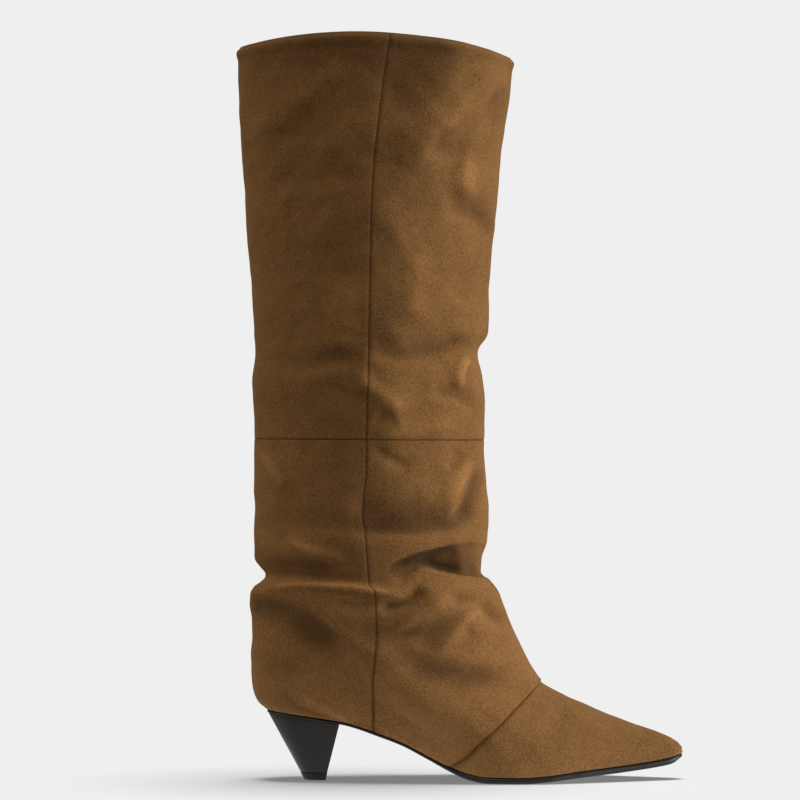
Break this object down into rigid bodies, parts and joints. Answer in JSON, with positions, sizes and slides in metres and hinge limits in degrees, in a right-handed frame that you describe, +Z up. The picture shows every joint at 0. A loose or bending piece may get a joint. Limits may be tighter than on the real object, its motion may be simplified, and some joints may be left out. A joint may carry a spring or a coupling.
{
  "type": "slouch boot",
  "caption": "Knee-high pull-on slouch boot in soft suede, with a pointed toe, a thin dark sole, a slim cone heel and folds at the ankle.",
  "frame": {"origin": "on the floor, under the middle of the boot's box", "axes": "+X to the toe, +Y to the inner side of the foot, +Z up"},
  "size_m": [0.2748, 0.098, 0.4584],
  "materials": {
    "suede": "soft matt nap, olive brown",
    "insole": "smooth matt leather",
    "outsole": "satin black",
    "heel_cover": "satin black",
    "top_piece": "matt black"
  },
  "bodies": {
    "root": {"upper": "suede", "shaft": "suede", "insole": "insole", "outsole": "outsole", "heel": "heel_cover", "top_piece": "top_piece"}
  },
  "joints": []
}
